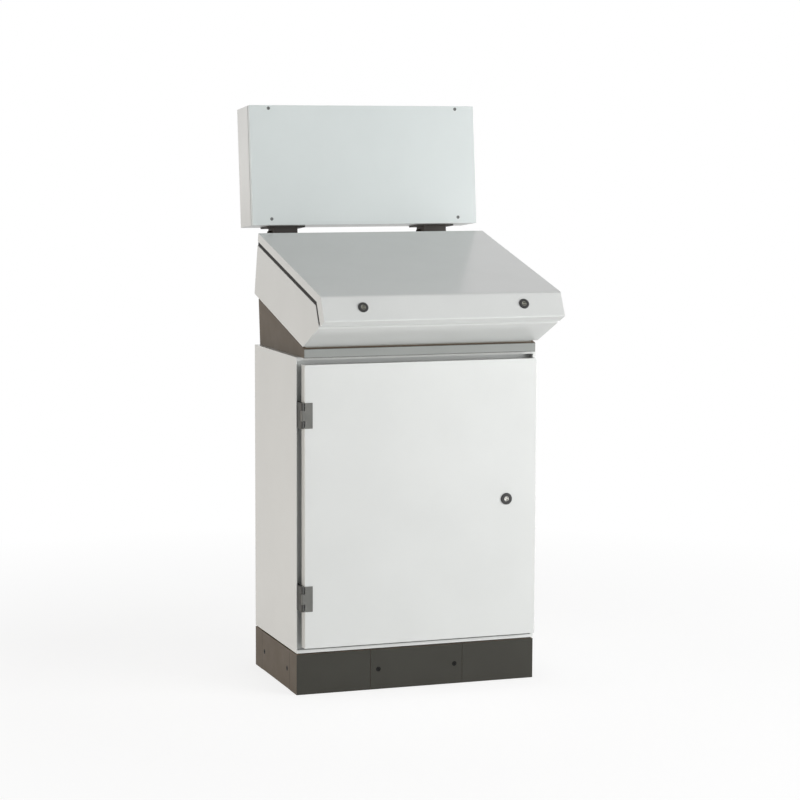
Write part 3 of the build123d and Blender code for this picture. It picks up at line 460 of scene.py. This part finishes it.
@dataclass(frozen=True)
class CountersunkScrew(Fastener):
    """A countersunk screw with a recess in its flush head.

    Attributes:
        drive: The recess in the head.
        edge_mm: Bevel around the head's face.
        socket_share: Reach of a hexagon socket, against the head's radius.
        cross_share: Reach of a cross recess, against the head's radius.
        slot_share: Half the width of the cross's arms, against the head's radius.
        depth_share: Depth of the recess, against the head's height.
        taper_share: Size of the recess's floor, against its mouth.
    """

    drive: Drive = Drive.CROSS
    edge_mm: float = 0.25
    socket_share: float = 0.42
    cross_share: float = 0.62
    slot_share: float = 0.15
    depth_share: float = 0.75
    taper_share: float = 0.8

    def outline(self, share: float) -> list[tuple[float, float]]:
        """Outline of the recess.

        Args:
            share: Size against the recess's mouth.

        Returns:
            Its corners, in millimetres.
        """
        if self.drive is Drive.SOCKET:
            reach = self.socket_share * self.head_radius_mm * share
            turns = [math.pi * i / 3 for i in range(6)]
            return [(reach * math.cos(t), reach * math.sin(t)) for t in turns]
        reach = self.cross_share * self.head_radius_mm * share
        half = self.slot_share * self.head_radius_mm * share
        arm = [(reach, -half), (reach, half), (half, half)]
        quarters = [(1, 0), (0, 1), (-1, 0), (0, -1)]
        return [(x * c - y * s, x * s + y * c) for c, s in quarters for x, y in arm]

    def model(self, mesh: bmesh.types.BMesh) -> None:
        """Adds the screw, with the face of its head at height 0.

        Args:
            mesh: The mesh that takes it.
        """
        rim = self.head_radius_mm - self.edge_mm
        profile = [(rim, 0.0), (self.head_radius_mm, -self.edge_mm),
                   (self.shank_radius_mm, -self.head_height_mm)]
        rings = lathe(mesh, profile + self.thread(-self.head_height_mm - self.edge_mm), LATHE_STEPS)
        mesh.faces.new(rings[-1])
        depth = self.depth_share * self.head_height_mm
        mouth = [mesh.verts.new((x * MM, y * MM, 0.0)) for x, y in self.outline(1.0)]
        floor = [mesh.verts.new((x * MM, y * MM, -depth * MM)) for x, y in self.outline(self.taper_share)]
        for i in range(len(mouth)):
            j = (i + 1) % len(mouth)
            mesh.faces.new((mouth[i], floor[i], floor[j], mouth[j]))
        mesh.faces.new(floor)
        edges = ring_edges(mesh, rings[0]) + ring_edges(mesh, mouth)
        bmesh.ops.triangle_fill(mesh, edges=edges, use_beauty=True, normal=(0.0, 0.0, 1.0))


@dataclass(frozen=True)
class HexBolt(Fastener):
    """A hexagon bolt with a bevelled head on a washer face.

    Attributes:
        bevel_share: Drop of the head's bevel, against its width.
        washer_mm: Height of the washer face.
        crown_share: Radius of the head's flat end, against half its width across flats.
    """

    bevel_share: float = 0.58
    washer_mm: float = 0.5
    crown_share: float = 0.95

    def model(self, mesh: bmesh.types.BMesh) -> None:
        """Adds the bolt, with the end of its head at height 0.

        Args:
            mesh: The mesh that takes it.
        """
        flat = self.head_radius_mm * math.cos(math.pi / 6)
        crown = self.crown_share * flat
        seat = -self.head_height_mm
        top, sides, foot = [], [], []
        for i in range(HEX_STEPS):
            turn = 2 * math.pi * i / HEX_STEPS
            reach = flat / math.cos((turn % (math.pi / 3)) - math.pi / 6)
            way = Vector((math.cos(turn), math.sin(turn), 0.0)) * MM
            lift = Vector((0.0, 0.0, MM))
            top.append(mesh.verts.new(way * crown))
            sides.append(mesh.verts.new(way * reach - lift * (reach - crown) * self.bevel_share))
            foot.append(mesh.verts.new(way * reach + lift * (seat + self.washer_mm)))
        mesh.faces.new(top)
        for i in range(HEX_STEPS):
            j = (i + 1) % HEX_STEPS
            mesh.faces.new((sides[i], sides[j], top[j], top[i]))
            mesh.faces.new((foot[i], foot[j], sides[j], sides[i]))
        profile = [(crown, seat + self.washer_mm), (crown, seat)]
        shank = [(radius, height + seat) for radius, height in self.thread(0.0)]
        rings = lathe(mesh, profile + shank, HEX_STEPS)
        for i in range(HEX_STEPS):
            j = (i + 1) % HEX_STEPS
            mesh.faces.new((foot[j], foot[i], rings[0][i], rings[0][j]))
        mesh.faces.new(rings[-1])


def fasten(node: str, kind: CountersunkScrew | HexBolt, axis: Vector | None, finish: Finish,
           body: str) -> None:
    """Puts detailed fasteners in place of a node's plain ones.

    Args:
        node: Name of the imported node.
        kind: The fastener.
        axis: Direction in which the heads point, or None if each points out of its own side.
        finish: The finish it takes.
        body: The body that carries it.
    """
    grouped = bmesh.new()
    places = head_places(node, axis)
    for place in places:
        single = bmesh.new()
        kind.model(single)
        bmesh.ops.recalc_face_normals(single, faces=single.faces)
        single.transform(place)
        made = bpy.data.meshes.new(node)
        single.to_mesh(made)
        single.free()
        grouped.from_mesh(made)
        bpy.data.meshes.remove(made)
    mesh = bpy.data.meshes.new(f"{node}_detail")
    grouped.to_mesh(mesh)
    grouped.free()
    mesh.shade_smooth()
    mesh.set_sharp_from_angle(angle=math.radians(SHARP_ANGLE_DEG))
    mesh.materials.append(finish.material())
    piece = bpy.data.objects.new(f"{node}_detail", mesh)
    bpy.context.collection.objects.link(piece)
    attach(piece, body)
    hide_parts(node)
    log.info("modelled %d of %s in %s", len(places), node, finish.name)


@dataclass
class Plinth:
    """The plinth: channels, covers, side panels, seal and fasteners."""

    edge_mm: float = 0.5
    seal_edge_mm: float = 0.8
    bolt: HexBolt = HexBolt(8.5, 6.5, 5.0, 13.5, 1.5)
    screw: CountersunkScrew = CountersunkScrew(6.0, 2.4, 3.0, 11.0, 1.0, Drive.SOCKET)

    def build(self) -> None:
        """Dresses the plinth's nodes."""
        for node in ("plinth_front", "plinth_rear", "plinth_front_cover", "plinth_rear_cover",
                     "plinth_left_panel", "plinth_right_panel"):
            dress(node, DARK_COAT, self.edge_mm)
        dress("plinth_gasket", SEAL_RUBBER, self.seal_edge_mm)
        # Near-black heads: dark oxide, plus painted shade of the holes they sit in
        fasten("plinth_screws", self.screw, None, SCREW_OXIDE_AND_SHADE, "base")
        fasten("plinth_bolts", self.bolt, Vector((0, 0, 1)), ZINC_STEEL, "base")


@dataclass
class Pedestal:
    """The cabinet with its mounting plate, door and hinges."""

    edge_mm: float = 0.8
    hinge_edge_mm: float = 0.6
    nut_edge_mm: float = 0.4
    seal_edge_mm: float = 1.5

    def build(self) -> None:
        """Dresses the cabinet's nodes."""
        dress("pedestal_body", LIGHT_COAT, self.edge_mm)
        dress("door", LIGHT_COAT, self.edge_mm)
        dress("door_gasket", SEAL_RUBBER, self.seal_edge_mm)
        for node in ("gland_plate", "mounting_plate", "mounting_studs", "mounting_nuts", "hinge_pins"):
            dress(node, ZINC_STEEL, self.nut_edge_mm)
        for place in ("upper", "lower"):
            # The hinge feet take the darkened casting: painted shade of the gutter
            dress(f"hinge_foot_{place}", SHADED_FOOT_CASTING, self.hinge_edge_mm)
            dress(f"hinge_strap_{place}", HINGE_CASTING, self.hinge_edge_mm)


@dataclass
class Lock:
    """One quarter-turn lock.

    Attributes:
        prefix: Start of its nodes' names.
        core: Finish of its turning core.
    """

    prefix: str
    core: Finish
    edge_mm: float = 0.3

    def build(self) -> None:
        """Dresses the lock's nodes."""
        dress(f"{self.prefix}_housing", LOCK_CASTING, self.edge_mm)
        dress(f"{self.prefix}_core", self.core, self.edge_mm)
        dress(f"{self.prefix}_nut", ZINC_STEEL, self.edge_mm)
        dress(f"{self.prefix}_cam", ZINC_STEEL, self.edge_mm)


@dataclass
class Desk:
    """Collar, desk body, lid, their seals, hinges and bolts."""

    edge_mm: float = 0.8
    seal_edge_mm: float = 1.2
    leaf_edge_mm: float = 0.3
    slope_deg: float = 13.4
    collar_bolt: HexBolt = HexBolt(6.5, 5.3, 4.0, 12.0, 1.25)
    desk_bolt: HexBolt = HexBolt(6.5, 5.3, 4.0, 18.0, 1.25)

    def build(self) -> None:
        """Dresses the desk's nodes."""
        dress("collar", DARK_COAT, self.edge_mm)
        dress("collar_front_cover", MID_COAT, self.edge_mm)
        # The desk seal's light grey is painted light in its shaded gap
        dress("desk_gasket", SEAL_PAINTED_LIGHT, self.seal_edge_mm)
        dress("lid_gasket", SEAL_RUBBER, self.seal_edge_mm)
        dress("desk_body", LIGHT_COAT, self.edge_mm)
        dress("lid", LIGHT_COAT, self.edge_mm)
        for node in ("lid_hinge_pins", "lid_hinge_leaf_left", "lid_hinge_leaf_right",
                     "desk_hinge_leaf_left", "desk_hinge_leaf_right"):
            dress(node, ZINC_STEEL, self.leaf_edge_mm)
        slope = math.radians(self.slope_deg)
        square = Vector((0, -math.sin(slope), math.cos(slope)))
        fasten("collar_bolts", self.collar_bolt, Vector((0, 0, -1)), ZINC_STEEL, "base")
        fasten("desk_bolts", self.desk_bolt, square, ZINC_STEEL, "base")


@dataclass
class InstrumentBox:
    """The tilting box with its cover, screws and brackets."""

    edge_mm: float = 0.8
    plate_edge_mm: float = 0.6
    seal_edge_mm: float = 0.6
    tilt_deg: float = 6.0
    back_lean_deg: float = 13.4
    screw: CountersunkScrew = CountersunkScrew(4.2, 1.9, 2.0, 21.0, 0.7)
    foot_bolt: HexBolt = HexBolt(5.0, 4.0, 3.0, 14.0, 1.0)

    def build(self) -> None:
        """Dresses the box's and the brackets' nodes."""
        dress("box_shell", LIGHT_COAT, self.edge_mm)
        dress("box_cover", COVER_COAT, self.edge_mm)
        dress("box_gasket", SEAL_RUBBER, self.seal_edge_mm)
        for side in ("left", "right"):
            dress(f"bracket_arm_{side}", BRACKET_COAT, self.plate_edge_mm)
            dress(f"bracket_clevis_{side}", BRACKET_COAT, self.plate_edge_mm)
        dress("pivot_bolts", BRACKET_COAT, self.plate_edge_mm)
        tilt, lean = math.radians(self.tilt_deg), math.radians(self.back_lean_deg)
        forward = Vector((0, -math.cos(tilt), math.sin(tilt)))
        backward = Vector((0, math.cos(lean), math.sin(lean)))
        fasten("box_screws", self.screw, forward, SCREW_STEEL, "instrument_box")
        fasten("foot_bolts", self.foot_bolt, backward, BRACKET_COAT, "base")


@dataclass
class Studio:
    """White floor and backdrop, soft lamps and the camera.

    Attributes:
        eye: Place of the camera.
        aim: Point that it looks at.
        lens_mm: Focal length.
        sensor_mm: Width of the sensor.
        roll_deg: Turn of the camera about its line of sight.
        floor_half: Half the floor's width.
        floor_drop: Gap between the floor and the plinth.
        floor_fade: Distances between which the floor fades to white.
        floor_paint: Colour that shows the console's shadow, sRGB hex.
        floor_lift: Light added to that colour, so that the floor looks white.
        plinth_half: Half the width and depth of the ground under the plinth, which gets no such light.
        floor_card: Colour that throws light back at the console, sRGB hex.
        floor_glow: Light added to that colour.
        lit: Point that the lamps face.
        key_watts: Power of the front lamp.
        key_place: Where it stands.
        key_size: Width and height of its face.
        key_spread_deg: Angle that its light fills.
        key_colour: Colour of its light, sRGB hex.
        fill_watts: Power of the side lamp.
        fill_place: Where it stands.
        fill_size: Width and height of its face.
        fill_spread_deg: Angle that its light fills.
        fill_colour: Colour of its light, sRGB hex.
        sky_low: Strength of the sky's light at the horizon.
        sky_high: Strength of the sky's light overhead.
    """

    eye: tuple[float, float, float] = (-1.9289, -5.5468, 1.3406)
    aim: tuple[float, float, float] = (0.01698, 0.0, 0.67085)
    lens_mm: float = 109.26
    sensor_mm: float = 36.0
    roll_deg: float = 0.21
    floor_half: float = 30.0
    floor_drop: float = 0.0005
    floor_fade: tuple[float, float] = (0.9, 2.2)
    floor_paint: str = "#9a9a9a"
    floor_lift: float = 0.78
    plinth_half: tuple[float, float] = (0.298, 0.173)
    floor_card: str = "#f6f6f6"
    floor_glow: float = 0.2
    lit: tuple[float, float, float] = (0.0, 0.0, 0.5)
    key_watts: float = 218.0
    key_place: tuple[float, float, float] = (3.95, -3.5, 1.2)
    key_size: tuple[float, float] = (4.0, 2.3)
    key_spread_deg: float = 180.0
    key_colour: str = WHITE
    fill_watts: float = 7.5
    fill_place: tuple[float, float, float] = (-3.7, 0.6, 0.5)
    fill_size: tuple[float, float] = (2.4, 1.0)
    fill_spread_deg: float = 60.0
    fill_colour: str = "#fff3e6"
    sky_low: float = 0.46
    sky_high: float = 0.28

    def build(self) -> None:
        """Makes the world, the floor, the lamps and the camera."""
        bpy.context.scene.view_settings.view_transform = "Standard"
        self.world()
        self.floor()
        self.lamp("Front softbox", self.key_place, self.key_size, self.key_watts, self.key_colour,
                  self.key_spread_deg)
        self.lamp("Side softbox", self.fill_place, self.fill_size, self.fill_watts, self.fill_colour,
                  self.fill_spread_deg)
        self.camera()

    def world(self) -> None:
        """White for what the eye and mirrors see, soft grey for the light it gives."""
        world = bpy.data.worlds.new("Studio")
        bpy.context.scene.world = world
        world.use_nodes = True
        tree = world.node_tree
        tree.nodes.clear()
        path = add_node(tree, "ShaderNodeLightPath")
        seen = add_node(tree, "ShaderNodeMath", {
            0: path.outputs["Is Camera Ray"], 1: path.outputs["Is Glossy Ray"]}, operation="MAXIMUM")
        seen = add_node(tree, "ShaderNodeMath", {
            0: seen.outputs[0], 1: path.outputs["Is Transmission Ray"]}, operation="MAXIMUM")
        way = add_node(tree, "ShaderNodeSeparateXYZ", {
            0: add_node(tree, "ShaderNodeTexCoord").outputs["Generated"]})
        height = add_node(tree, "ShaderNodeMapRange", {
            "Value": way.outputs["Z"], "To Min": self.sky_low, "To Max": self.sky_high})
        light = add_node(tree, "ShaderNodeBackground", {
            "Color": linear(WHITE), "Strength": height.outputs["Result"]})
        backdrop = add_node(tree, "ShaderNodeBackground", {"Color": linear(WHITE), "Strength": 1.0})
        mix = add_node(tree, "ShaderNodeMixShader", {
            0: seen.outputs[0], 1: light.outputs[0], 2: backdrop.outputs[0]})
        add_node(tree, "ShaderNodeOutputWorld", {"Surface": mix.outputs[0]})

    def floor(self) -> None:
        """A white floor that keeps the console's shadow."""
        mesh = bpy.data.meshes.new("Floor")
        half, level = self.floor_half, -self.floor_drop
        corners = [(-half, -half, level), (half, -half, level), (half, half, level), (-half, half, level)]
        mesh.from_pydata(corners, [], [(0, 1, 2, 3)])
        floor = bpy.data.objects.new("Floor", mesh)
        bpy.context.collection.objects.link(floor)
        made = bpy.data.materials.new("White studio floor")
        made.use_nodes = True
        tree = made.node_tree
        tree.nodes.clear()
        path = add_node(tree, "ShaderNodeLightPath")
        place = add_node(tree, "ShaderNodeTexCoord").outputs["Object"]
        paint = add_node(tree, "ShaderNodeBsdfDiffuse", {"Color": linear(self.floor_paint)})
        glow = add_node(tree, "ShaderNodeEmission", {
            "Color": linear(WHITE), "Strength": self.outside_plinth(tree, place)})
        both = add_node(tree, "ShaderNodeAddShader", {0: paint.outputs[0], 1: glow.outputs[0]})
        reach = add_node(tree, "ShaderNodeVectorMath", {0: place}, operation="LENGTH")
        near_end, far_end = self.floor_fade
        far = add_node(tree, "ShaderNodeMapRange", {
            "Value": reach.outputs["Value"], "From Min": near_end, "From Max": far_end})
        white = add_node(tree, "ShaderNodeEmission", {"Color": linear(WHITE), "Strength": 1.0})
        shown = add_node(tree, "ShaderNodeMixShader", {
            0: far.outputs["Result"], 1: both.outputs[0], 2: white.outputs[0]})
        card = add_node(tree, "ShaderNodeBsdfDiffuse", {"Color": linear(self.floor_card)})
        lift = add_node(tree, "ShaderNodeEmission", {"Color": linear(WHITE), "Strength": self.floor_glow})
        bounce = add_node(tree, "ShaderNodeAddShader", {0: card.outputs[0], 1: lift.outputs[0]})
        mix = add_node(tree, "ShaderNodeMixShader", {
            0: path.outputs["Is Camera Ray"], 1: bounce.outputs[0], 2: shown.outputs[0]})
        add_node(tree, "ShaderNodeOutputMaterial", {"Surface": mix.outputs[0]})
        mesh.materials.append(made)

    def outside_plinth(self, tree: bpy.types.NodeTree, place: bpy.types.NodeSocket) -> bpy.types.NodeSocket:
        """Adds the strength of the floor's lift, which is nothing in the shade under the plinth.

        Args:
            tree: The floor's node tree.
            place: Coordinates in metres.

        Returns:
            The strength.
        """
        away = add_node(tree, "ShaderNodeVectorMath", {0: place}, operation="ABSOLUTE")
        sides = add_node(tree, "ShaderNodeSeparateXYZ", {0: away.outputs["Vector"]})
        beyond = [
            add_node(tree, "ShaderNodeMath", {0: sides.outputs[way], 1: half}, operation="GREATER_THAN")
            for way, half in zip(("X", "Y"), self.plinth_half)]
        outside = add_node(tree, "ShaderNodeMath", {
            0: beyond[0].outputs[0], 1: beyond[1].outputs[0]}, operation="MAXIMUM")
        strength = add_node(tree, "ShaderNodeMath", {
            0: outside.outputs[0], 1: self.floor_lift}, operation="MULTIPLY")
        return strength.outputs[0]

    def lamp(self, name: str, spot: tuple[float, float, float], size: tuple[float, float], watts: float,
             colour: str, spread_deg: float) -> None:
        """Adds a soft lamp that faces the console.

        Args:
            name: Name of the lamp.
            spot: Where it stands.
            size: Width and height of its face.
            watts: Its power.
            colour: Colour of its light, sRGB hex.
            spread_deg: Angle that its light fills, less than 180 with a grid in front of it.
        """
        lamp = bpy.data.lights.new(name, "AREA")
        lamp.shape = "RECTANGLE"
        lamp.size, lamp.size_y = size
        lamp.energy = watts
        lamp.color = linear(colour)[:3]
        lamp.spread = math.radians(spread_deg)
        placed = bpy.data.objects.new(name, lamp)
        placed.location = spot
        towards = Vector(self.lit) - placed.location
        placed.rotation_euler = towards.to_track_quat("-Z", "Y").to_euler()
        bpy.context.collection.objects.link(placed)

    def camera(self) -> None:
        """The camera at the photograph's angle."""
        lens = bpy.data.cameras.new("Camera")
        lens.lens = self.lens_mm
        lens.sensor_width = self.sensor_mm
        camera = bpy.data.objects.new("Camera", lens)
        towards = Vector(self.aim) - Vector(self.eye)
        turn = towards.to_track_quat("-Z", "Y").to_matrix().to_4x4()
        roll = Matrix.Rotation(math.radians(self.roll_deg), 4, "Z")
        camera.matrix_world = Matrix.Translation(self.eye) @ turn @ roll
        bpy.context.collection.objects.link(camera)
        bpy.context.scene.camera = camera


def main() -> None:
    """Builds the console's sub-assemblies in order, then the studio."""
    logging.basicConfig(level=logging.INFO)
    locks = [Lock("door_lock", LOCK_PLATE),
             Lock("lid_lock_left", DARK_PLATE),
             Lock("lid_lock_right", DARK_PLATE)]
    for assembly in (Plinth(), Pedestal(), *locks, Desk(), InstrumentBox()):
        assembly.build()
    Studio().build()


if __name__ == "__main__":
    main()
